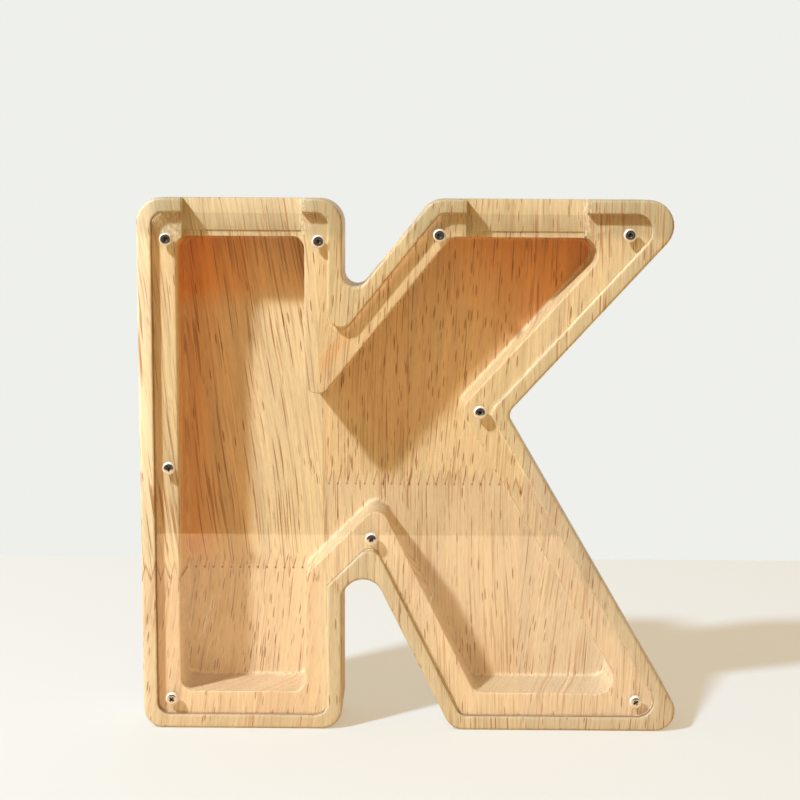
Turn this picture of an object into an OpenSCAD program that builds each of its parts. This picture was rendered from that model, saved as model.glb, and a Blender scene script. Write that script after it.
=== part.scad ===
// Letter-shaped wooden money box with a clear screwed-on front.
// X runs to the right, Z up, and the window faces -Y. Millimetres.
// The box stands on the plane Z = 0, centred on X and Y.

/* [Body] */
// Height of the letter
height = 210; // [200:1:230]
// Depth of the board that the box is cut from
depth = 30; // [28:1:36]
// Radius of the sanded edges at the front and back
edge_r = 1.3; // [0.6:0.1:2]
// Width of the letter's upright stem
stem_w = 79; // [74:1:84]

/* [Letter outline] */
// Height of the notch between the stem and the raised arm
crotch_z = 167; // [160:1:170]
// Left corner of the arm's end, from the stem's left side
arm_left_x = 113.5; // [110:0.5:116]
// Right corner of the arm's end, before it is rounded
arm_tip_x = 218.5; // [212:0.5:220]
// Corner on the right, where arm and leg meet
waist_x = 143; // [140:1:146]
// Height of that corner
waist_z = 127; // [120:1:130]
// Right corner of the leg's foot, before it is rounded
leg_tip_x = 217.5; // [214:0.5:222]
// Left corner of the leg's foot
leg_left_x = 122.5; // [118:0.5:126]
// Height on the stem's side where the arch under the letter starts
arch_side_z = 56; // [50:1:58]
// Highest corner of the arch, from the stem's left side
arch_top_x = 89.5; // [88:0.5:92]
// Height of the arch's highest corner
arch_top_z = 66.5; // [64:0.5:68]

/* [Front] */
// Width of the rim that frames the window
rim_w = 5.5; // [4:0.5:7]
// Width of the ledge that carries the window
ledge_w = 9.2; // [8:0.1:10]
// Depth of the ledge below the rim
ledge_depth = 3; // [2.5:0.5:4]
// Depth of the coin space below the rim
space_depth = 25; // [22:1:26]
// Radius of the cutter that shapes the ledge and the coin space
cutter_r = 5; // [3:0.5:5]

/* [Coin slots] */
// Width of each slot
slot_w = 46; // [34:1:48]
// Depth of each slot below the rim
slot_depth = 7.5; // [6:0.5:16]
// Middle of the arm's slot, from the stem's left side
arm_slot_x = 149.5; // [147:0.5:152]

/* [Window] */
// Thickness of the clear sheet
window_t = 2; // [1.5:0.5:2]
// Gap between the sheet and the rim
window_gap = 0.4; // [0.3:0.1:0.8]

/* [Screws] */
// Diameter of the pan head
head_d = 5; // [4.5:0.1:5.5]
// Height of the pan head
head_h = 1.7; // [1.4:0.1:2]
// Diameter of the shank
shank_d = 2.5; // [2.2:0.1:2.8]
// Length under the head
screw_l = 12; // [10:1:14]
// Distance of the screws beside the stem's left side from that side
screw_side_x = 11.3; // [11:0.1:12]
// Depth of the cross recess in the head
recess_depth = 1.1; // [0.8:0.1:1.2]

/* [Hidden] */

// How finely the arcs are drawn, and the small rounds along the edges
arc_fn = 96;
round_fn = 32;
// How far a corner's arc stands past the sides it touches, so that it crosses them cleanly
arc_over = 0.003;
// How far a sanded round stands proud of its tangent place, so that it breaks cleanly through both faces
lift = 0.04;
// Radii of the outline's corners: feet, arch, outward corners at the top, inward corners
foot_r = 8;
arch_r = 8;
top_r = 10;
inward_r = 5;
// The ledge's inward corner beside the arch is left almost sharp, and its narrow tips are rounder
sharp_r = 0.6;
tip_extra_r = 1.5;
// Overshoot of every cut, so that it breaks cleanly through a face
over = 1;
bore_clearance = 0.06;
window_hole_clearance = 0.3;
bore_extra = 1.5;

// The letter's corners, anticlockwise seen from the front, from the stem's lower left
OUTLINE = [
    [0, 0], [stem_w, 0], [stem_w, arch_side_z], [arch_top_x, arch_top_z],
    [leg_left_x, 0], [leg_tip_x, 0], [waist_x, waist_z], [arm_tip_x, height],
    [arm_left_x, height], [stem_w, crotch_z], [stem_w, height], [0, height]];
OUTER_R = [foot_r, foot_r, arch_r, arch_r, foot_r, foot_r, inward_r, top_r,
           top_r, inward_r, top_r, top_r];
// The cutter's radii at the same corners, for the ledge and for the coin space
tip_r = cutter_r + tip_extra_r;
LEDGE_R = [cutter_r, cutter_r, sharp_r, cutter_r, cutter_r, tip_r, cutter_r, tip_r,
           cutter_r, cutter_r, cutter_r, cutter_r];
SPACE_R = [cutter_r, cutter_r, cutter_r, cutter_r, cutter_r, tip_r, cutter_r, tip_r,
           cutter_r, cutter_r, cutter_r, cutter_r];
space_inset = rim_w + ledge_w;

// Middles of the screws, from the stem's lower left corner
SCREWS = [
    ["screw_stem_top_left", [screw_side_x, height - 16]],
    ["screw_stem_top_right", [stem_w - 9.2, height - 16.5]],
    ["screw_stem_middle", [screw_side_x, height / 2]],
    ["screw_stem_bottom", [screw_side_x, 12]],
    ["screw_arm_top_left", [arm_left_x + 2.7, height - 14]],
    ["screw_arm_top_right", [arm_tip_x - 29.5, height - 13.5]],
    ["screw_waist", [waist_x - 10.5, waist_z + 0.8]],
    ["screw_arch", [arch_top_x + 1, arch_top_z + 10.8]],
    ["screw_leg_bottom", [leg_tip_x - 21.8, 12]]];

// The letter's overall width, which its rounded foot sets
foot_angle = atan2(waist_z, leg_tip_x - waist_x);
width = leg_tip_x - foot_r / tan(foot_angle / 2) + foot_r;

function unit(v) = v / norm(v);
function left_of(v) = [-v.y, v.x];
function corner(points, i) = points[(i + len(points)) % len(points)];
function towards(points, i, j) = unit(corner(points, j) - corner(points, i));
function half_angle(points, i) = acos(towards(points, i, i - 1) * towards(points, i, i + 1)) / 2;
function turns_left(points, i) = left_of(towards(points, i - 1, i)) * towards(points, i, i + 1) > 0;

// Where the two sides beside corner i meet after both have moved inwards by d
function moved_corner(points, i, d) =
    let (after = left_of(towards(points, i, i + 1)),
         half = unit(left_of(towards(points, i - 1, i)) + after))
    corner(points, i) + half * d / (half * after);

function inset(points, d) = [for (i = [0 : len(points) - 1]) moved_corner(points, i, d)];

// The arc of radius r at corner i: its centre, and where it touches the side towards corner j
function arc_centre(points, i, r) =
    let (middle = unit(towards(points, i, i - 1) + towards(points, i, i + 1)))
    corner(points, i) + middle * r / sin(half_angle(points, i));
function touch(points, i, j, r) =
    corner(points, i) + towards(points, i, j) * r / tan(half_angle(points, i));

module corner_disc(points, i, r) {
    translate(arc_centre(points, i, r)) circle(r + arc_over, $fn = arc_fn);
}

// The flat outline with each corner rounded to its own radius
module rounded(points, radii) {
    last = len(points) - 1;
    difference() {
        union() {
            polygon([for (i = [0 : last]) for (j = [i - 1, i + 1]) touch(points, i, j, radii[i])]);
            for (i = [0 : last]) if (turns_left(points, i)) corner_disc(points, i, radii[i]);
        }
        for (i = [0 : last]) if (!turns_left(points, i)) corner_disc(points, i, radii[i]);
    }
}

// Stands a shape drawn flat up in X and Z, at the given depth below the front, its top to the front
module at_depth(y) {
    translate([-width / 2, y - depth / 2, 0]) rotate([90, 0, 0]) children();
}

// A prism with the given outline, between two depths below the front
module prism(points, radii, from, to) {
    at_depth(to) linear_extrude(to - from) rounded(points, radii);
}

// What rounding an edge takes off, in section. The solid is at X < 0 and Y < 0
module edge_waste(r) {
    difference() {
        translate([-r, -r]) square(r + over);
        translate([lift - r, lift - r]) circle(r, $fn = round_fn);
    }
}

// The same round a whole outline, at the top of a solid that reaches up to Z = 0
module outline_waste(points, radii, r) {
    for (i = [0 : len(points) - 1]) {
        side_waste(touch(points, i, i + 1, radii[i]),
                   touch(points, i + 1, i, corner(radii, i + 1)), r);
        corner_waste(points, i, radii[i], r);
    }
}

module side_waste(a, b, r) {
    translate(b) rotate([90, 0, atan2(a.x - b.x, b.y - a.y)])
        linear_extrude(norm(b - a)) edge_waste(r);
}

module corner_waste(points, i, corner_r, r) {
    out = turns_left(points, i);
    centre = arc_centre(points, i, corner_r);
    first = touch(points, i, out ? i - 1 : i + 1, corner_r) - centre;
    translate(centre) rotate(atan2(first.y, first.x))
        rotate_extrude(angle = 180 - 2 * half_angle(points, i), $fn = arc_fn)
            translate([corner_r, 0]) scale([out ? 1 : -1, 1]) edge_waste(r);
}

// A round bar along Y, between two depths below the front
module bar(place, r, from, to) {
    at_depth(to) translate(place) cylinder(h = to - from, r = r, $fn = 48);
}

// One coin slot, cut from the front and open at the top and into the coin space
module coin_slot(middle_x) {
    low = height - space_inset - over;
    at_depth(slot_depth) translate([middle_x - slot_w / 2, low, 0])
        cube([slot_w, height + over - low, slot_depth + over]);
}

module pilot_bore(place) {
    bar(place, shank_d / 2 + bore_clearance, ledge_depth - over,
        ledge_depth - window_t + screw_l + bore_extra);
}

// The board, sanded round its front and back
module board() {
    difference() {
        prism(OUTLINE, OUTER_R, 0, depth);
        at_depth(0) outline_waste(OUTLINE, OUTER_R, edge_r);
        at_depth(depth) mirror([0, 0, 1]) outline_waste(OUTLINE, OUTER_R, edge_r);
    }
}

module case() {
    color("burlywood") difference() {
        board();
        prism(inset(OUTLINE, rim_w), LEDGE_R, -over, ledge_depth);
        prism(inset(OUTLINE, space_inset), SPACE_R, -over, space_depth);
        coin_slot(stem_w / 2 + 0.7);
        coin_slot(arm_slot_x);
        for (screw = SCREWS) pilot_bore(screw[1]);
    }
}

module window() {
    front = ledge_depth - window_t;
    color("lightcyan", 0.4) difference() {
        prism(inset(OUTLINE, rim_w + window_gap), [for (r = LEDGE_R) max(r - window_gap, sharp_r)],
              front, ledge_depth);
        for (screw = SCREWS)
            bar(screw[1], shank_d / 2 + window_hole_clearance, front - over, ledge_depth + over);
    }
}

// A pan-head wood screw, head towards the front, its point in the ledge
module screw(place) {
    head_r = head_d / 2;
    shank_r = shank_d / 2;
    crown_r = 0.9;
    point_l = 3;
    slot_half_w = 0.3;
    slot_half_l = 1.35;
    crown = [for (k = [0 : 6])
        [head_r - crown_r + crown_r * cos(15 * k), head_h - crown_r + crown_r * sin(15 * k)]];
    profile = concat([[0, -screw_l], [shank_r, -screw_l + point_l], [shank_r, 0], [head_r, 0]],
                     crown, [[0, head_h]]);
    color("silver") at_depth(ledge_depth - window_t) translate(place) difference() {
        rotate_extrude($fn = 48) polygon(profile);
        for (turn = [0, 90]) rotate(turn)
            translate([-slot_half_l, -slot_half_w, head_h - recess_depth])
                cube([2 * slot_half_l, 2 * slot_half_w, recess_depth + over]);
    }
}

case();
window();
for (one = SCREWS) screw(one[1]);
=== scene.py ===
import math
import random

import bmesh
import bpy
from mathutils import Matrix, Vector


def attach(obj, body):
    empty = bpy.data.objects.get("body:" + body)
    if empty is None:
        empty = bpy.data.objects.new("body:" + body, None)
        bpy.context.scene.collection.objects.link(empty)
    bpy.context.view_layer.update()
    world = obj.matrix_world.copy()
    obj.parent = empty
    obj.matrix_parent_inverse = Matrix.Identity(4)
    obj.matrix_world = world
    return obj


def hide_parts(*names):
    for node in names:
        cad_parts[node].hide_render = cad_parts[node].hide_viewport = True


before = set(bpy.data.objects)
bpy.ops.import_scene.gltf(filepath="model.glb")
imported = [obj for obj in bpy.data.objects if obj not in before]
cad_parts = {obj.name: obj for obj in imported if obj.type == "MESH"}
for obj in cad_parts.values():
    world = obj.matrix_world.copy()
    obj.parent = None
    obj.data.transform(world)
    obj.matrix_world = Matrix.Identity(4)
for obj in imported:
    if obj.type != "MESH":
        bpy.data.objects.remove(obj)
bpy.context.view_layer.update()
randomPlaces = random.Random(11)


# The letter in millimetres: x from the stem's left side, z from the floor
letter = {
    "height": 210.0,
    "depth": 30.0,
    "corners": [(0, 0), (79, 0), (79, 56), (89.5, 66.5), (122.5, 0), (217.5, 0),
                (143, 127), (218.5, 210), (113.5, 210), (79, 167), (79, 210), (0, 210)],
    "outerRadii": [8, 8, 8, 8, 8, 8, 5, 10, 10, 5, 10, 10],
    "ledgeRadii": [5, 5, 0.6, 5, 5, 6.5, 5, 6.5, 5, 5, 5, 5],
    "spaceRadii": [5, 5, 5, 5, 5, 6.5, 5, 6.5, 5, 5, 5, 5],
}
screwPlaces = {
    "stem_top_left": (11.3, 194.0), "stem_top_right": (69.8, 193.5), "stem_middle": (11.3, 105.0),
    "stem_bottom": (11.3, 12.0), "arm_top_left": (116.2, 196.0), "arm_top_right": (189.0, 196.5),
    "waist": (132.5, 127.8), "arch": (90.5, 77.3), "leg_bottom": (195.7, 12.0),
}
footAngle = math.atan2(127.0, 217.5 - 143.0)
letterWidth = 217.5 - 8.0 / math.tan(footAngle / 2) + 8.0


def inFrame(x, depth, z):
    # letter millimetres to metres in the shared frame
    return Vector(((x - letterWidth / 2) / 1000, (depth - letter["depth"] / 2) / 1000, z / 1000))


def movedCorners(inset):
    # the letter's corners after every side has moved inwards
    corners = [Vector(c) for c in letter["corners"]]
    moved = []
    for i, corner in enumerate(corners):
        before = (corner - corners[i - 1]).normalized()
        after = (corners[(i + 1) % len(corners)] - corner).normalized()
        sideBefore, sideAfter = Vector((-before.y, before.x)), Vector((-after.y, after.x))
        half = (sideBefore + sideAfter).normalized()
        moved.append(corner + half * inset / half.dot(sideAfter))
    return moved


def turnsLeft(i):
    corners = [Vector(c) for c in letter["corners"]]
    before = corners[i] - corners[i - 1]
    after = corners[(i + 1) % len(corners)] - corners[i]
    return before.x * after.y - before.y * after.x > 0


def outline(inset, radii, inwards=0.0, steps=10):
    # rounded outline with its sides moved in by inset + inwards; the radii belong to inset alone
    corners = movedCorners(inset + inwards)
    points = []
    for i, corner in enumerate(corners):
        radius = max(radii[i] - inwards if turnsLeft(i) else radii[i] + inwards, 0.05)
        back = (corners[i - 1] - corner).normalized()
        ahead = (corners[(i + 1) % len(corners)] - corner).normalized()
        halfAngle = back.angle(ahead) / 2
        centre = corner + (back + ahead).normalized() * radius / math.sin(halfAngle)
        first = corner + back * radius / math.tan(halfAngle) - centre
        last = corner + ahead * radius / math.tan(halfAngle) - centre
        turn = math.atan2(first.x * last.y - first.y * last.x, first.dot(last))
        for k in range(steps + 1):
            points.append(centre + Matrix.Rotation(turn * k / steps, 2) @ first)
    return points


def loft(name, rings):
    # a circle is added, put on the first ring, then its edge is extruded from ring to ring
    bpy.ops.object.select_all(action="DESELECT")
    bpy.ops.mesh.primitive_circle_add(vertices=len(rings[0]), radius=0.05, location=(0, 0, 0))
    piece = bpy.context.object
    piece.name = piece.data.name = name
    bpy.ops.object.mode_set(mode="EDIT")
    bpy.ops.mesh.select_mode(type="EDGE")
    bpy.ops.mesh.select_all(action="SELECT")
    mesh = bmesh.from_edit_mesh(piece.data)
    station = mesh.verts.layers.int.new("station")
    for i, vertex in enumerate(mesh.verts):
        vertex[station] = i
        vertex.co = rings[0][i]
    for ring in rings[1:]:
        bpy.ops.mesh.extrude_edges_move()
        mesh = bmesh.from_edit_mesh(piece.data)
        station = mesh.verts.layers.int["station"]
        for vertex in mesh.verts:
            if vertex.select:
                vertex.co = ring[vertex[station]]
    bpy.ops.mesh.edge_face_add()
    bpy.ops.mesh.select_all(action="DESELECT")
    bpy.ops.mesh.select_non_manifold()
    bpy.ops.mesh.edge_face_add()
    bpy.ops.mesh.select_all(action="SELECT")
    bpy.ops.mesh.normals_make_consistent(inside=False)
    mesh = bmesh.from_edit_mesh(piece.data)
    mesh.verts.layers.int.remove(mesh.verts.layers.int["station"])
    bmesh.update_edit_mesh(piece.data)
    bpy.ops.object.mode_set(mode="OBJECT")
    return piece


def cutAway(piece, other):
    bpy.ops.object.select_all(action="DESELECT")
    bpy.context.view_layer.objects.active = piece
    piece.select_set(True)
    cut = piece.modifiers.new("cut", "BOOLEAN")
    cut.operation = "DIFFERENCE"
    cut.solver = "EXACT"
    cut.object = other
    bpy.ops.object.modifier_apply(modifier=cut.name)
    bpy.data.objects.remove(other)


def box(name, low, high):
    bpy.ops.object.select_all(action="DESELECT")
    bpy.ops.mesh.primitive_cube_add(size=1, location=(low + high) / 2)
    made = bpy.context.object
    made.name = name
    made.scale = [abs(v) for v in high - low]
    bpy.ops.object.transform_apply(location=True, rotation=True, scale=True)
    return made


def bore(centre, radius, fromDepth, toDepth, sides=32):
    angles = [2 * math.pi * k / sides for k in range(sides)]
    return loft("bore", [[inFrame(centre[0] + radius * math.cos(a), depth, centre[1] + radius * math.sin(a))
                          for a in angles] for depth in (fromDepth, toDepth)])


def selectEdges(piece, wanted):
    # in edit mode, selects the edges for which wanted(edge) is true
    bpy.ops.mesh.select_mode(type="EDGE")
    bpy.ops.mesh.select_all(action="DESELECT")
    mesh = bmesh.from_edit_mesh(piece.data)
    for edge in mesh.edges:
        if wanted(edge):
            edge.select_set(True)
    mesh.select_flush_mode()
    bmesh.update_edit_mesh(piece.data)


def smoothByAngle(piece, degrees):
    # slivers with no area, left by the cuts, go first
    sliver = 0.000003
    bpy.ops.object.select_all(action="DESELECT")
    bpy.context.view_layer.objects.active = piece
    piece.select_set(True)
    bpy.ops.object.mode_set(mode="EDIT")
    bpy.ops.mesh.select_all(action="SELECT")
    bpy.ops.mesh.remove_doubles(threshold=sliver)
    bpy.ops.mesh.dissolve_degenerate(threshold=sliver)
    bpy.ops.object.mode_set(mode="OBJECT")
    bpy.ops.object.shade_smooth_by_angle(angle=math.radians(degrees))


caseSizes = {
    "rimWidth": 5.5,
    "ledgeWidth": 9.2,
    "ledgeDepth": 3.0,
    "spaceDepth": 25.0,
    "slotWidth": 46.0,
    "slotDepth": 7.5,
    "stepDepth": 8.0,         # each slot is milled in two passes, which leave a small step at its foot
    "stepHeight": 2.2,
    "slotMiddles": (40.2, 149.5),
    "outsideRound": 1.3,      # sanded edge outside, front and back
    "rimRound": 0.45,         # sanded edge on the inside of the rim
    "ledgeRound": 0.45,       # sanded edge of the ledge over the coin space
    "cove": 1.8,              # hollow where the coin space's sides meet its floor
    "fillet": 0.3,            # hollow where the rim meets the ledge
    "slotRound": 0.35,        # sanded edges of the coin slots
    "boreRadius": 1.31,
    "boreDepth": 14.5,
    "wideLoop": 1.2,          # loops beside the roundings keep the flat faces flat
    "narrowLoop": 0.7,
}


def quarter(steps):
    # angles of a quarter turn, both ends included
    return [math.pi / 2 * k / steps for k in range(steps + 1)]


def makeCase():
    s = caseSizes
    depth, outer = letter["depth"], letter["outerRadii"]
    ledge, space = letter["ledgeRadii"], letter["spaceRadii"]
    spaceInset = s["rimWidth"] + s["ledgeWidth"]
    rings = []

    def ring(inset, radii, inwards, at):
        rings.append([inFrame(p.x, at, p.y) for p in outline(inset, radii, inwards)])

    radius = s["outsideRound"]
    ring(0, outer, radius + s["wideLoop"], depth)
    for a in quarter(5):                                   # back edge
        ring(0, outer, radius * (1 - math.sin(a)), depth - radius * (1 - math.cos(a)))
    for a in quarter(5):                                   # front edge
        ring(0, outer, radius * (1 - math.cos(a)), radius * (1 - math.sin(a)))
    radius = s["rimRound"]
    ring(s["rimWidth"], ledge, -radius - s["narrowLoop"], 0)
    for a in quarter(3):                                   # rim to its side
        ring(s["rimWidth"], ledge, -radius * (1 - math.sin(a)), radius * (1 - math.cos(a)))
    radius = s["fillet"]
    for a in quarter(2):                                   # side of the rim to ledge
        ring(s["rimWidth"], ledge, radius * (1 - math.cos(a)), s["ledgeDepth"] - radius * (1 - math.sin(a)))
    ring(s["rimWidth"], ledge, radius + s["narrowLoop"], s["ledgeDepth"])
    radius = s["ledgeRound"]
    ring(spaceInset, space, -radius - s["narrowLoop"], s["ledgeDepth"])
    for a in quarter(3):                                   # ledge to the side of the coin space
        ring(spaceInset, space, -radius * (1 - math.sin(a)), s["ledgeDepth"] + radius * (1 - math.cos(a)))
    radius = s["cove"]
    for a in quarter(5):                                   # side to floor
        ring(spaceInset, space, radius * (1 - math.cos(a)), s["spaceDepth"] - radius * (1 - math.sin(a)))
    ring(spaceInset, space, radius + s["wideLoop"], s["spaceDepth"])
    case = loft("moneyBoxCase", rings)

    # the cutters stick out by 1 mm wherever nothing stops them
    over = 1.0
    low = letter["height"] - spaceInset - over
    for middle in s["slotMiddles"]:
        left, right = middle - s["slotWidth"] / 2, middle + s["slotWidth"] / 2
        cutAway(case, box("slot", inFrame(left, -over, low),
                          inFrame(right, s["slotDepth"], letter["height"] + over)))
        cutAway(case, box("step", inFrame(left, -over, low),
                          inFrame(right, s["stepDepth"], low + over + s["stepHeight"])))
    for place in screwPlaces.values():
        cutAway(case, bore(place, s["boreRadius"], s["ledgeDepth"] - over, s["boreDepth"]))

    slotPlanes = [inFrame(middle + side * s["slotWidth"] / 2, 0, 0).x
                  for middle in s["slotMiddles"] for side in (-1, 1)]
    slotBack = inFrame(0, s["slotDepth"], 0).y
    lowestSlot = inFrame(0, 0, low + over / 2).z
    near = 1e-6
    sharp = math.radians(35)

    def onSlot(edge):
        if len(edge.link_faces) != 2 or edge.calc_face_angle_signed(0) < sharp:
            return False
        ends = [v.co for v in edge.verts]
        if min(p.z for p in ends) < lowestSlot:
            return False
        onSide = any(all(abs(p.x - x) < near and p.y < slotBack + near for p in ends) for x in slotPlanes)
        onBack = all(abs(p.y - slotBack) < near for p in ends) and any(
            all(slotPlanes[k] - near < p.x < slotPlanes[k + 1] + near for p in ends) for k in (0, 2))
        return onSide or onBack

    bpy.ops.object.mode_set(mode="EDIT")
    selectEdges(case, onSlot)
    bpy.ops.mesh.bevel(offset=s["slotRound"] / 1000, segments=2, profile=0.5, clamp_overlap=False)
    bpy.ops.object.mode_set(mode="OBJECT")
    smoothByAngle(case, 38)
    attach(case, "case")
    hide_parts("case")
    return case


windowSizes = {
    "gap": 0.4,
    "thickness": 2.0,
    "airUnder": 0.04,         # the sheet never lies quite flat on the wood
    "edgeRound": 0.12,
    "loop": 1.2,              # width of the loop beside the rounded edge
    "leastCorner": 0.6,
    "holeRadius": 1.55,
}


def makeWindow():
    s = windowSizes
    inset = caseSizes["rimWidth"] + s["gap"]
    radii = [max(r - s["gap"], s["leastCorner"]) for r in letter["ledgeRadii"]]
    front = caseSizes["ledgeDepth"] - s["thickness"]
    back = caseSizes["ledgeDepth"] - s["airUnder"]
    edge, loop = s["edgeRound"], s["loop"]
    profile = [(loop, back), (edge, back), (0, back - edge),
               (0, front + edge), (edge, front), (loop, front)]
    window = loft("clearWindow", [[inFrame(p.x, at, p.y) for p in outline(inset, radii, inwards)]
                                  for inwards, at in profile])
    for place in screwPlaces.values():
        cutAway(window, bore(place, s["holeRadius"], front - 1, back + 1))
    smoothByAngle(window, 30)
    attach(window, "window")
    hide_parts("window")
    return window


screwSizes = {
    "headRadius": 2.5,
    "headHeight": 1.7,
    "crown": 1.0,             # width of the head's rounded shoulder
    "crownTurn": 12.5,        # degrees from ring to ring over the shoulder
    "dome": 0.12,
    "lowerEdge": 0.1,
    "neck": 0.15,
    "flangeFrom": 1.95,       # outside this radius the head is matt
    "threadRadius": 1.25,
    "threadPlay": 0.05,
    "threadFrom": 0.9,        # below the head
    "runIn": 0.6,             # length over which the thread grows to its full height
    "threadSlope": 2.2,
    "ringsPerTurn": 8,
    "rootRadius": 0.95,
    "pitch": 1.0,
    "length": 12.0,
    "point": 3.0,
    "recessDepth": 1.3,
    "recessReach": 1.35,
    "recessWidth": 0.95,
    "recessFoot": (0.35, 1, 0.8),   # how much the cross narrows towards its bottom
    "sides": 40,
}
# What the screws are made of, in the order of their material numbers, with painted shade in the recess and
# a painted highlight on the ring round the head. The mottle is the noise's scale, per metre; the second
# roughness is what the palest spots have on top of the first
screwLooks = {
    "platedSteel": {"mottle": 900, "dark": (0.70, 0.68, 0.64), "pale": (0.88, 0.86, 0.81),
                    "metallic": 1.0, "roughness": (0.08, 0.16)},
    # painted shade: the cross recess gets a near-black finish, standing in for the shade inside it
    "recessPaintedShade": {"mottle": 1500, "dark": (0.02, 0.018, 0.016), "pale": (0.50, 0.48, 0.44),
                   "metallic": 0.45, "roughness": (0.28, 0.3), "edge": (0.47, 0.60)},
    # painted highlight: the ring round the head gets a pale, matt finish so that it reads as a bright ring
    "ringPaintedHighlight": {"mottle": 1200, "dark": (0.86, 0.83, 0.76), "pale": (0.97, 0.95, 0.90),
                   "metallic": 0.35, "roughness": (0.42, 0.2)},
}


def screwFinish(name, look):
    f = Finish(bpy.data.materials.new(name))
    fine = f.noise(f.add("ShaderNodeTexCoord", output="Object"), scale=look["mottle"])
    if "edge" in look:
        fine = fine.rise(*look["edge"])
    least, more = look["roughness"]
    f.finishWith(f.add("ShaderNodeBsdfPrincipled", None, {
        "Base Color": f.blend(look["dark"], look["pale"], fine), "Metallic": look["metallic"],
        "Roughness": least + fine * more}))
    return f.owner


def screwRings(s):
    # made round the origin, head towards -Y, underside of the head at depth 0
    def ring(radius, y, thread=0.0):
        points = []
        for k in range(s["sides"]):
            angle = 2 * math.pi * k / s["sides"]
            wave = abs(((y / s["pitch"] - k / s["sides"]) % 1.0) - 0.5) * 2
            r = radius + thread * max(0.0, 1 - wave * s["threadSlope"])
            points.append(Vector((r * math.cos(angle), y, r * math.sin(angle))) / 1000)
        return points

    flat, height, dome = s["headRadius"] - s["crown"], s["headHeight"], s["dome"]
    thread, play = s["threadRadius"], s["threadPlay"]
    rings = [ring(flat * k / 4, -height + dome * (k / 4) ** 2) for k in range(1, 4)]
    for k in range(1, 8):
        a = math.radians(s["crownTurn"] * k)
        rings.append(ring(flat + s["crown"] * math.sin(a),
                          -height + dome + (s["crown"] - dome) * (1 - math.cos(a))))
    rings += [ring(s["headRadius"], -s["lowerEdge"]), ring(s["headRadius"] - s["lowerEdge"], 0),
              ring(thread + play, 0), ring(thread - play, s["neck"])]
    y = s["threadFrom"]
    while y < s["length"] - 0.15:
        taper = min(1.0, (s["length"] - y) / s["point"])
        runIn = min(1.0, max(0.0, (y - s["threadFrom"]) / s["runIn"]))
        root = (s["rootRadius"] + (thread - play - s["rootRadius"]) * (1 - runIn)) * taper
        rings.append(ring(max(root, 0.05), y, (thread - s["rootRadius"]) * min(taper * 1.3, 1.0) * runIn))
        y += s["pitch"] / s["ringsPerTurn"]
    rings.append(ring(0.04, s["length"]))
    return rings


def recessBar(s, turn):
    # one of the two tapered bars that cut the cross
    deep = -s["headHeight"] + s["recessDepth"]
    low = Vector((-s["recessReach"], -s["headHeight"] - 0.5, -s["recessWidth"] / 2)) / 1000
    high = Vector((s["recessReach"], deep, s["recessWidth"] / 2)) / 1000
    bar = box("recess", low, high)
    bpy.ops.object.mode_set(mode="EDIT")
    bpy.ops.mesh.select_mode(type="FACE")
    bpy.ops.mesh.select_all(action="DESELECT")
    mesh = bmesh.from_edit_mesh(bar.data)
    for face in mesh.faces:
        face.select_set(face.normal.y > 0.9)
    bmesh.update_edit_mesh(bar.data)
    bpy.ops.transform.resize(value=s["recessFoot"], center_override=(0, deep / 1000, 0))
    bpy.ops.object.mode_set(mode="OBJECT")
    if turn:
        bar.rotation_euler = (0, turn, 0)
        bpy.ops.object.transform_apply(location=True, rotation=True, scale=True)
    return bar


def makeScrewModel():
    s = screwSizes
    screw = loft("screwModel", screwRings(s))
    for turn in (0, math.pi / 2):
        cutAway(screw, recessBar(s, turn))
    for name, look in screwLooks.items():
        screw.data.materials.append(screwFinish(name, look))
    for face in screw.data.polygons:
        middle = face.center * 1000
        reach = math.hypot(middle.x, middle.z)
        # faces in the cross get the painted shade, faces on the ring round the head the painted highlight
        if reach < s["recessReach"] and 0.25 - s["headHeight"] < middle.y < 0:
            face.material_index = 1
        elif reach > s["flangeFrom"] and middle.y < 0:
            face.material_index = 2
    smoothByAngle(screw, 40)
    return screw


def makeScrews():
    model = makeScrewModel()
    underHead = caseSizes["ledgeDepth"] - windowSizes["thickness"]
    for name, (x, z) in screwPlaces.items():
        bpy.ops.object.select_all(action="DESELECT")
        bpy.context.view_layer.objects.active = model
        model.select_set(True)
        bpy.ops.object.duplicate(linked=False)
        screw = bpy.context.object
        screw.name = screw.data.name = "panHeadScrew_" + name
        screw.rotation_euler = (0, randomPlaces.uniform(0, math.pi / 2), 0)
        screw.location = inFrame(x, underHead, z)
        bpy.ops.object.transform_apply(location=True, rotation=True, scale=True)
        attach(screw, "screw_" + name)
        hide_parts("screw_" + name)
    bpy.data.objects.remove(model)


class Wire:
    # one socket, so that shader maths reads like plain sums
    def __init__(self, finish, socket):
        self.finish, self.socket = finish, socket

    def maths(self, operation, *others, clamp=False):
        return self.finish.add("ShaderNodeMath", {"operation": operation, "use_clamp": clamp},
                               dict(enumerate((self,) + others)))

    def __add__(self, other): return self.maths("ADD", other)
    def __radd__(self, other): return self.maths("ADD", other)
    def __sub__(self, other): return self.maths("SUBTRACT", other)
    def __rsub__(self, other): return self.finish.number(other).maths("SUBTRACT", self)
    def __mul__(self, other): return self.maths("MULTIPLY", other)
    def __rmul__(self, other): return self.maths("MULTIPLY", other)
    def __truediv__(self, other): return self.maths("DIVIDE", other)
    def __rtruediv__(self, other): return self.finish.number(other).maths("DIVIDE", self)
    def __pow__(self, other): return self.maths("POWER", other)
    def __abs__(self): return self.maths("ABSOLUTE")
    def above(self, level): return self.maths("GREATER_THAN", level)
    def below(self, level): return self.maths("LESS_THAN", level)
    def clamped(self): return self.maths("ADD", 0, clamp=True)

    def rise(self, start, end):
        # 0 at start, 1 at end, smooth between; start may be the larger
        return self.finish.add("ShaderNodeMapRange", {"interpolation_type": "SMOOTHSTEP"},
                               {"Value": self, "From Min": start, "From Max": end})


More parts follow.
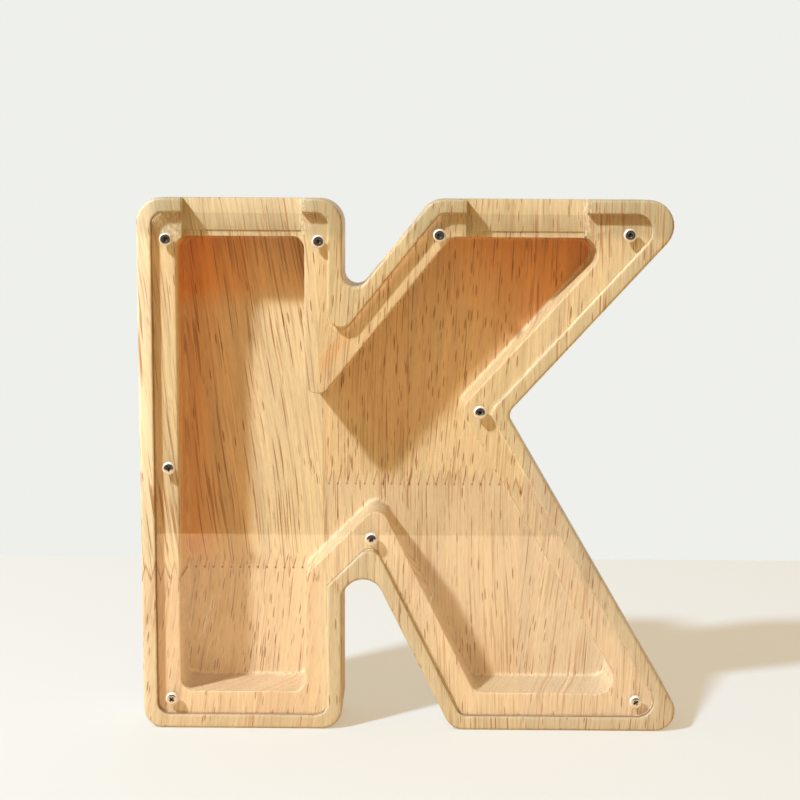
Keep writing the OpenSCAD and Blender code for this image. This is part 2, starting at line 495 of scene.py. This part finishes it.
class Finish:
    # a node tree being filled, for a material or the world
    def __init__(self, owner):
        owner.use_nodes = True
        self.owner, self.tree = owner, owner.node_tree
        self.tree.nodes.clear()

    def add(self, kind, settings=None, inputs=None, output=0):
        node = self.tree.nodes.new(kind)
        for name, value in (settings or {}).items():
            if name == "stops":
                ramp = node.color_ramp
                while len(ramp.elements) < len(value):
                    ramp.elements.new(0.5)
                for element, (position, colour) in zip(ramp.elements, value):
                    element.position, element.color = position, (*colour, 1)
            elif name == "spread":
                node.color_ramp.interpolation = value
            else:
                setattr(node, name, value)
        for key, value in (inputs or {}).items():
            socket = node.inputs[key]
            if isinstance(value, Wire):
                self.tree.links.new(value.socket, socket)
            else:
                socket.default_value = value
        if isinstance(output, tuple):
            return [Wire(self, node.outputs[o]) for o in output]
        return None if output is None else Wire(self, node.outputs[output])

    def number(self, value):
        wire = self.add("ShaderNodeValue")
        wire.socket.default_value = value
        return wire

    def finishWith(self, shader, kind="ShaderNodeOutputMaterial"):
        self.add(kind, None, {"Surface": shader}, None)

    def seenBy(self, rays):
        return self.add("ShaderNodeLightPath", output=rays)

    def mirroredRays(self):
        # 1 for what the camera sees in a mirror or through the clear sheet, but 0 for stray light
        rays = (self.seenBy("Is Transmission Ray") + self.seenBy("Is Glossy Ray")).clamped()
        return rays * self.seenBy("Diffuse Depth").below(0.5)

    def directRays(self):
        return (self.seenBy("Is Camera Ray") + self.mirroredRays()).clamped()

    def vector(self, x, y, z):
        return self.add("ShaderNodeCombineXYZ", None, {0: x, 1: y, 2: z})

    def split(self, vector):
        return self.add("ShaderNodeSeparateXYZ", None, {0: vector}, (0, 1, 2))

    def noise(self, vector, scale=1.0, detail=2.0, roughness=0.5):
        return self.add("ShaderNodeTexNoise", None,
                        {"Vector": vector, "Scale": scale, "Detail": detail, "Roughness": roughness})

    def blend(self, first, second, factor, mode="MIX"):
        # colours
        return self.add("ShaderNodeMix", {"data_type": "RGBA", "blend_type": mode},
                        {0: factor, 6: self.colour(first), 7: self.colour(second)}, 2)

    def colour(self, value):
        return value if isinstance(value, Wire) else (*value[:3], 1)

    def mixed(self, first, second, factor):
        # numbers
        return self.add("ShaderNodeMix", {"data_type": "FLOAT"}, {0: factor, 2: first, 3: second}, 0)


# The boards that the letter is cut from, in the order of their numbers. Leans are sideways millimetres
# per millimetre up; dashes and lines say how many dark pores and how strong the long lines are
boards = {
    "stem": {"tone": (0.76, 0.66, 0.435), "lean": -0.13, "dashes": 0.15, "lines": 0.95},
    "stemFoot": {"tone": (0.75, 0.61, 0.41), "lean": 0.12, "dashes": 0.85, "lines": 0.35},
    "middleLeft": {"tone": (0.745, 0.61, 0.37), "lean": 0.03, "dashes": 0.85, "lines": 0.60},
    "middleRight": {"tone": (0.76, 0.64, 0.40), "lean": 0.06, "dashes": 0.95, "lines": 0.45},
    "middleFoot": {"tone": (0.73, 0.62, 0.42), "lean": -0.02, "dashes": 0.30, "lines": 0.60},
    "armEnd": {"tone": (0.76, 0.645, 0.42), "lean": 0.0, "dashes": 0.35, "lines": 0.85},
    "legEnd": {"tone": (0.69, 0.59, 0.42), "lean": 0.07, "dashes": 0.50, "lines": 0.65},
}
# Lengths in millimetres. Where there are two, the effect starts at the first and is full at the second
woodLook = {
    "fingerPitch": 3.63,      # the boards are joined end to end by glued fingers
    "fingerLength": 6.5,
    "stemJoint": 60.0,
    "middleJoint": 95.0,
    "endJoint": 127.0,
    "stemEdge": 70.0,         # and side to side by plain glue lines
    "glueLine": 104.5,
    "middleEdge": 150.0,
    "lineColour": (0.36, 0.145, 0.032),
    # painted shade in the gap round the window
    "gapShadeColour": (0.20, 0.075, 0.02),
    "poreColour": (0.29, 0.095, 0.015),
    "sapColour": (0.87, 0.80, 0.60),
    # painted shade colour, laid over the coin space and the ledge where they lie in shadow
    "paintedShadeTint": (1.03, 0.53, 0.185),
    # painted shade on the front faces
    "faceShadeTint": (0.80, 0.87, 0.92),
    # painted shade on the top band
    "topShadeTint": (0.80, 0.82, 0.83),
    "endGrain": 0.24,         # how much darker the wood is where it is cut across the grain
    "sapwood": (9, 4),
    "top": (193, 198),
    "face": (2.4, 1.6),
    "bump": 0.14,
}
# Across, along and strength of each part of the grain
grain = {
    "treeAcross": -45.0,      # where the middle of the tree would be
    "treeDepth": 70.0,
    "bands": (5.0, 170, 0.46),
    "fine": (0.9, 70, 0.44),
    "fibre": (0.32, 5, 0.42),
    "cloud": (14, 50, 0.20),
    "patch": (11, 80, 0.70),
    "streaks": (0.85, 34, 0.72),
    "shortPores": (1.0, 9, 0.75),
    "longPores": (0.9, 36, 0.72),
}
# Painted shade: a deeper, warmer tint laid on the coin space where it lies in shadow, and on a narrow band
# of the ledge in the rim's shadow; a share says how strong it gets
paintedShade = {
    "stemMiddle": (46, 37), "stemMiddleShare": 0.28,
    "stemLeft": (34, 17), "stemLeftShare": 0.34,
    "stemFoot": (56, 72),
    "stemTop": (163, 178), "stemTopShare": 0.5,
    "armLow": (14, 36), "armLeft": (216, 240), "armShare": 0.24,
    "armTip": (270, 350), "armTipShare": 0.72,
    "legRight": (-25, -75), "legMiddle": (172, 150), "legShare": 0.22,
    "depth": (17, 23),
    "side": 20,
    "depthAtSide": (4, 13),
    "ceiling": 197,
    "rimBand": (10.2, 8.2), "rimBandShare": 0.25,
}
glueLook = {
    "finger": (1.7, 0.5), "fingerShare": 0.5,
    "tip": (0.62, 0.34), "tipShare": 0.8, "tipLessInMiddle": 0.4,
    "line": (0.36, 0.1), "lineFrom": 96, "lineShare": 0.45,
    "crack": (0.55, 0.15), "crackFoot": (83, 86), "crackHead": (104, 100),
    "crackWander": 6, "crackShare": 0.6,
}
tornFibres = {
    "screwPlace": (12, 200), "screwReach": (6.5, 5.5),
    "beside": (2.0, 0.8), "besideFrom": 196,
    "width": 0.8, "length": 1.6,
    "share": 0.7,
}


# Painted shade: how strongly the shadowed parts of the coin space and of the ledge get the warm, deep tint
def paintedShadeMap(f, x, depth, z, towards):
    # the sums of x and z run across the arm and the leg
    h = paintedShade
    edge = woodLook["stemEdge"]
    inStem = x.rise(*h["stemMiddle"]) * h["stemMiddleShare"] + x.rise(*h["stemLeft"]) * h["stemLeftShare"]
    inStem = inStem * z.rise(*h["stemFoot"]) + z.rise(*h["stemTop"]) * h["stemTopShare"]
    inArm = (z - x * 0.82).rise(*h["armLow"]) * (z + x * 1.27).rise(*h["armLeft"]) * h["armShare"]
    inArm = (inArm + (x + z).rise(*h["armTip"]) * h["armTipShare"]) * towards[0].rise(0.5, 0.2)
    inLeg = (z - x * 0.6).rise(*h["legRight"]) * (z * 0.45 + x).rise(*h["legMiddle"]) * h["legShare"]
    shadeAmount = f.mixed(inArm + inLeg, inStem, x.below(edge)).clamped()
    shadeAmount = shadeAmount * f.mixed(depth.rise(*h["depth"]), depth.rise(*h["depthAtSide"]), x.below(h["side"]))
    # neither the sides that face the lamp nor the back and the outside of the top
    shadeAmount = shadeAmount * (towards[2] - towards[0]).rise(0.7, 0.2) * towards[1].rise(0.5, 0.2)
    shadeAmount = shadeAmount * z.below(h["ceiling"])
    # painted shadow: a narrow band on the ledge, beside the left rim, the notch and the top, where the
    # rim's shadow falls
    notch = letter["corners"][9]
    fromRim = f.mixed((x - notch[0]) * 0.78 - (z - notch[1]) * 0.626, x, x.below(edge))
    fromRim = fromRim.maths("MINIMUM", letter["height"] - z)
    onLedge = fromRim.above(5) * depth.rise(2.7, 2.95) * depth.rise(3.6, 3.2)
    return shadeAmount + fromRim.rise(*h["rimBand"]) * onLedge * h["rimBandShare"]


def glueMap(f, x, depth, z, finger, fine, fibre):
    # glue between the fingers, small gaps at their tips, and the line where two boards meet side by side
    s, g = woodLook, glueLook
    inMiddle = x.above(s["stemEdge"]) * x.below(s["middleEdge"])
    joint = f.mixed(s["stemJoint"], s["middleJoint"], inMiddle)
    tip = ((finger * 0.28) ** 2 + (z - joint) ** 2) ** 0.5
    inSpace = depth.above(10)
    stroke = (x / s["fingerPitch"]).maths("FRACT").below(0.5) * finger.rise(5.2, 4.2)
    glue = abs(z - joint - finger).rise(*g["finger"]) * fine.rise(0.3, 0.55)
    glue = glue * (1 - inSpace + inSpace * stroke) * g["fingerShare"]
    glue = glue + tip.rise(*g["tip"]) * inSpace * (g["tipShare"] - inMiddle * g["tipLessInMiddle"])
    glue = glue * x.below(s["middleEdge"])
    line = abs(x - s["glueLine"]).rise(*g["line"]) * z.above(g["lineFrom"]) * g["lineShare"]
    crack = (f.noise(f.vector(0.0, 0.0, z / 12), detail=1.0) - 0.4) * g["crackWander"] + s["glueLine"]
    crack = abs(x - crack).rise(*g["crack"]) * z.rise(*g["crackFoot"]) * z.rise(*g["crackHead"])
    return glue + line * fibre.rise(0.25, 0.6) + crack * g["crackShare"]


def tornMap(f, x, depth, z):
    # torn fibres where the cutter came out, beside the slots and round the first screw
    s, slots = tornFibres, caseSizes
    middle, reach = s["screwPlace"], s["screwReach"]
    torn = (((x - middle[0]) / reach[0]) ** 2 + ((z - middle[1]) / reach[1]) ** 2).rise(1.2, 0.5)
    torn = torn * depth.rise(2.6, 2.9)
    for middle in slots["slotMiddles"]:
        beside = abs(x - middle - slots["slotWidth"] / 2 - 0.4).rise(*s["beside"])
        torn = torn + beside * z.above(s["besideFrom"])
    place = f.vector(x / s["width"], depth / s["width"], z / s["length"])
    return torn.clamped() * f.noise(place, detail=3.0, roughness=0.7).rise(0.42, 0.62)


def woodFinish():
    s = woodLook
    f = Finish(bpy.data.materials.new("rubberwood"))
    here, facing = f.add("ShaderNodeTexCoord", output=("Object", "Normal"))
    here = f.add("ShaderNodeMapping", {"vector_type": "POINT"},
                 {"Vector": here, "Location": (letterWidth / 2, letter["depth"] / 2, 0),
                  "Scale": (1000, 1000, 1000)})
    x, depth, z = f.split(here)
    towards = f.split(facing)

    # which board: the fingers of a joint are a zigzag
    finger = (x / s["fingerPitch"]).maths("PINGPONG", 0.5) * 2 * s["fingerLength"]
    stem = z.below(finger + s["stemJoint"])
    middle = f.mixed(2 + x.above(s["glueLine"]), 4.0, z.below(finger + s["middleJoint"]))
    number = f.mixed(f.mixed(middle, 5 + z.below(s["endJoint"]), x.above(s["middleEdge"])),
                     stem, x.below(s["stemEdge"]))
    pick = (number + 0.5) / len(boards)

    def ofBoard(trait):
        stops = [(i / len(boards), trait(board)) for i, board in enumerate(boards.values())]
        return f.add("ShaderNodeValToRGB", {"spread": "CONSTANT", "stops": stops}, {0: pick})

    tone = ofBoard(lambda board: board["tone"])
    traits = ofBoard(lambda board: (board["lean"] + 0.5, board["dashes"], board["lines"]))
    lean, dashes, lines = f.split(traits)

    # grain coordinates: across the grain, through the board, along the grain
    wander = f.noise(f.vector(x / 45, depth / 45, z / 120 + number * 3.7), detail=1.0)
    across = x - (lean - 0.5) * z + (wander - 0.5) * 9
    along = z + number * 311
    ring = ((across - grain["treeAcross"]) ** 2 + (depth - grain["treeDepth"]) ** 2) ** 0.5

    def layer(name, shift, detail=1.0, roughness=0.5):
        # noise that follows the tree's rings
        width, length = grain[name][:2]
        place = f.vector(ring / width, along / length, number + shift)
        return f.noise(place, detail=detail, roughness=roughness)

    def flat(name, roughness=0.5):
        # noise that follows the board
        width, length = grain[name][:2]
        place = f.vector(across / width, depth / width, along / length)
        return f.noise(place, detail=1.0, roughness=roughness)

    def pores(name, shift, share):
        # dark dashes where vessels are cut open, each its own strength
        width, length, strength = grain[name]
        place = f.vector(across / width + shift, depth / width, along / length + shift)
        gap, chance = f.add("ShaderNodeTexVoronoi", None, {"Vector": place, "Scale": 1.0},
                            ("Distance", "Color"))
        chance = f.split(chance)
        return gap.rise(0.33, 0.20) * chance[0].below(share) * (0.4 + chance[1] * 0.6) * strength

    bands, fine = layer("bands", 0, 2.0), layer("fine", 5, 2.0, 0.6)
    fibre, cloud = flat("fibre", 0.6), flat("cloud")
    patch = layer("patch", 21, 0.0).rise(0.34, 0.60) * grain["patch"][2]
    streaks = layer("streaks", 9).rise(0.54, 0.66) * (1 - grain["patch"][2] + patch) * lines

    shade = 1 + (bands - 0.5) * grain["bands"][2] * lines
    for noise, name in ((fine, "fine"), (fibre, "fibre"), (cloud, "cloud")):
        shade = shade + (noise - 0.5) * grain[name][2]
    shade = shade * (1 - abs(towards[2]).rise(0.5, 0.95) * s["endGrain"])

    def tinted(colour, tint, factor):
        return f.blend(colour, f.blend(colour, s[tint], 1.0, "MULTIPLY"), factor)

    # painted shade: the front faces are painted darker than the wood under the window, to balance a lamp
    # set bright for the inside
    colour = tinted(tone, "faceShadeTint", depth.rise(*s["face"]))
    colour = f.blend(colour, s["sapColour"], x.rise(*s["sapwood"]) * (z.rise(70, 130) * 0.6 + 0.35))
    # painted shade: the top band is painted darker, to even out the lamp's stronger light there
    colour = tinted(colour, "topShadeTint", z.rise(*s["top"]))
    # painted shade in the coin space and in the rim's shadow on the ledge
    colour = tinted(colour, "paintedShadeTint", paintedShadeMap(f, x, depth, z, towards))
    colour = f.add("ShaderNodeVectorMath", {"operation": "SCALE"}, {0: colour, "Scale": shade})
    colour = f.blend(colour, s["lineColour"], (streaks * grain["streaks"][2]).clamped())
    pore = pores("shortPores", 0.0, dashes) + pores("longPores", 7.3, lines * 0.6)
    pore = (pore + glueMap(f, x, depth, z, finger, fine, fibre)).clamped()
    colour = f.blend(colour, s["poreColour"], pore)

    # painted shade: the rim's inner walls round the window are painted dark at the left, at the feet and
    # beside the leg, where the gap lies in shadow
    rimEnd = caseSizes["rimWidth"] + 1.5
    gapShadeMask = (towards[0].rise(0.5, 0.8) * x.below(rimEnd) + towards[2].rise(0.5, 0.8) * z.below(rimEnd)
               + towards[0].rise(-0.4, -0.7) * z.below(96) * x.above(140))
    gapShadeMask = gapShadeMask.clamped() * depth.rise(0.9, 1.3) * depth.rise(3.3, 3.1)
    colour = f.blend(colour, s["gapShadeColour"], gapShadeMask * 0.8)

    torn = tornMap(f, x, depth, z)
    colour = f.blend(colour, s["sapColour"], torn * tornFibres["share"])
    height = (fibre - 0.5) * 0.5 + (fine - 0.5) * 0.4 - pore + torn * 2.4
    bump = f.add("ShaderNodeBump", None, {"Height": height, "Strength": 0.5, "Distance": s["bump"] / 1000})
    f.finishWith(f.add("ShaderNodeBsdfPrincipled", None, {
        "Base Color": colour, "Roughness": 0.45 + (fine - 0.5) * 0.2 + pore * 0.2, "Normal": bump,
        "IOR": 1.45}))
    return f.owner


acrylicLook = {
    "ior": 1.49,
    "polish": 0.5,            # weight of the coat that mirrors the table
    "polishIor": 1.6,
    "straight": (0.99, 0.99, 0.985, 1),
    "frost": 700,
    "edgeGlow": 0.9,
    "scuffTop": (0.09, 0.07),
    "scuffs": 0.12,
}


def clearFinish():
    s = acrylicLook
    f = Finish(bpy.data.materials.new("clearAcrylic"))
    sheet = f.add("ShaderNodeBsdfPrincipled", None, {
        "Base Color": (1, 1, 1, 1), "Roughness": 0.0, "IOR": s["ior"], "Transmission Weight": 1.0,
        "Coat Weight": s["polish"], "Coat IOR": s["polishIor"], "Coat Roughness": 0.0})
    # light and stray rays go straight through
    through = f.add("ShaderNodeBsdfTransparent", None, {"Color": s["straight"]})
    stray = (f.seenBy("Is Shadow Ray") + f.seenBy("Diffuse Depth").above(0.5)).clamped()
    clear = f.add("ShaderNodeMixShader", None, {0: stray, 1: sheet, 2: through})
    # painted light: the cut edges that face away from the lamp get a pale frosted finish that glows by
    # emission, standing in for the light that runs along the sheet and comes out there
    here, facing = f.add("ShaderNodeTexCoord", output=("Object", "Normal"))
    side, front, up = f.split(facing)
    glowingSide = (side - up * 0.9).rise(1.05, 1.3) * abs(front).rise(0.6, 0.3)
    frost = f.noise(here, scale=s["frost"])
    edge = f.add("ShaderNodeBsdfPrincipled", None, {
        "Base Color": f.blend((0.78, 0.80, 0.78), (0.95, 0.96, 0.94), frost),
        "Roughness": 0.35 + frost * 0.2, "IOR": s["ior"],
        "Emission Color": (1, 1, 0.96, 1), "Emission Strength": s["edgeGlow"]})
    both = f.add("ShaderNodeMixShader", None, {0: glowingSide, 1: clear, 2: edge})
    # faint scuffs from wiping, low in the sheet
    here = f.split(here)
    x, z = here[0], here[2]
    scuff = f.noise(f.vector((x - z * 0.29) * 800, 0.0, z * 34), detail=1.0).rise(0.60, 0.74)
    where = f.noise(f.vector(x * 30, 3.0, z * 22), detail=1.0).rise(0.50, 0.62) * z.rise(*s["scuffTop"])
    pale = f.add("ShaderNodeBsdfDiffuse", None, {"Color": (0.9, 0.9, 0.88, 1)})
    f.finishWith(f.add("ShaderNodeMixShader", None, {0: scuff * where * s["scuffs"], 1: both, 2: pale}))
    return f.owner


studio = {
    "tableFront": -0.367,
    "tableBack": 0.279,
    "tableWidth": 6.0,
    "tableColour": (0.74, 0.59, 0.39, 1),      # what the table gives back to the object
    "tableSeen": (0.315, 0.42, 0.53, 1),       # with the glow, what the camera sees
    "tableGlow": (0.475, 0.375, 0.26, 1),
    "wallColour": (0.86, 0.87, 0.83, 1),
    "lampPlace": (-1.32, -1.04, 1.82),
    "lampPower": 256.0,
    "lampRadius": 0.085,
    "fillFront": (0.67, 0.40, 0.15),           # warm light from the room on the window's side
    "roomSeen": (0.09, 0.085, 0.075),          # the same room mirrored, or seen through the clear sheet
    "fillBack": (0.50, 0.49, 0.47),
    "tableMirrored": 0.2,                      # how much of the seen tone a mirrored table has
}
view = {
    "place": (-0.00068, -0.61673, 0.21320),
    "lens": 70.53,
    "turn": 0.348,            # degrees
    "down": 7.633,
    "roll": 0.314,
}


def makeStudio():
    bpy.ops.object.select_all(action="DESELECT")
    middle = (studio["tableFront"] + studio["tableBack"]) / 2
    bpy.ops.mesh.primitive_plane_add(size=1, location=(0, middle, 0))
    table = bpy.context.object
    table.name = "tableTop"
    table.scale = (studio["tableWidth"], studio["tableBack"] - studio["tableFront"], 1)
    bpy.ops.object.transform_apply(location=True, rotation=True, scale=True)
    f = Finish(bpy.data.materials.new("tableWhite"))
    rays = (f.directRays() - f.seenBy("Is Glossy Ray") * (1 - studio["tableMirrored"])).clamped()
    real = f.add("ShaderNodeBsdfDiffuse", None, {"Color": studio["tableColour"]})
    pale = f.add("ShaderNodeBsdfDiffuse", None, {"Color": studio["tableSeen"]})
    glow = f.add("ShaderNodeEmission", None, {"Color": studio["tableGlow"], "Strength": 1.0})
    seen = f.add("ShaderNodeAddShader", None, {0: pale, 1: glow})
    f.finishWith(f.add("ShaderNodeMixShader", None, {0: rays, 1: real, 2: seen}))
    table.data.materials.append(f.owner)

    bpy.ops.object.light_add(type="POINT", location=studio["lampPlace"])
    lamp = bpy.context.object
    lamp.name = "softLamp"
    lamp.data.energy = studio["lampPower"]
    lamp.data.shadow_soft_size = studio["lampRadius"]

    bpy.context.scene.view_settings.view_transform = "Standard"
    world = bpy.data.worlds.new("room")
    bpy.context.scene.world = world
    f = Finish(world)
    towards = f.split(f.add("ShaderNodeTexCoord", output="Generated"))
    behind = towards[1].rise(-0.1, 0.5)
    front = f.blend(studio["fillFront"], studio["roomSeen"], f.mirroredRays())
    fill = f.add("ShaderNodeBackground", None, {
        "Color": f.blend(front, studio["fillBack"], behind), "Strength": 1.0})
    wall = f.add("ShaderNodeBackground", None, {"Color": studio["wallColour"], "Strength": 1.0})
    f.finishWith(f.add("ShaderNodeMixShader", None, {0: f.directRays() * behind, 1: fill, 2: wall}),
                 "ShaderNodeOutputWorld")


def makeCamera():
    bpy.ops.object.camera_add(location=(0, 0, 0))
    camera = bpy.context.object
    camera.name = "photoCamera"
    camera.data.lens = view["lens"]
    camera.data.sensor_width = 36
    camera.matrix_world = (Matrix.Translation(view["place"])
                           @ Matrix.Rotation(math.radians(view["turn"]), 4, "Z")
                           @ Matrix.Rotation(math.radians(90 - view["down"]), 4, "X")
                           @ Matrix.Rotation(math.radians(view["roll"]), 4, "Z"))
    bpy.context.scene.camera = camera


case = makeCase()
case.data.materials.clear()
case.data.materials.append(woodFinish())
print("case done")
window = makeWindow()
window.data.materials.append(clearFinish())
print("window done")
makeScrews()
print("screws done")
makeStudio()
makeCamera()
print("studio done")
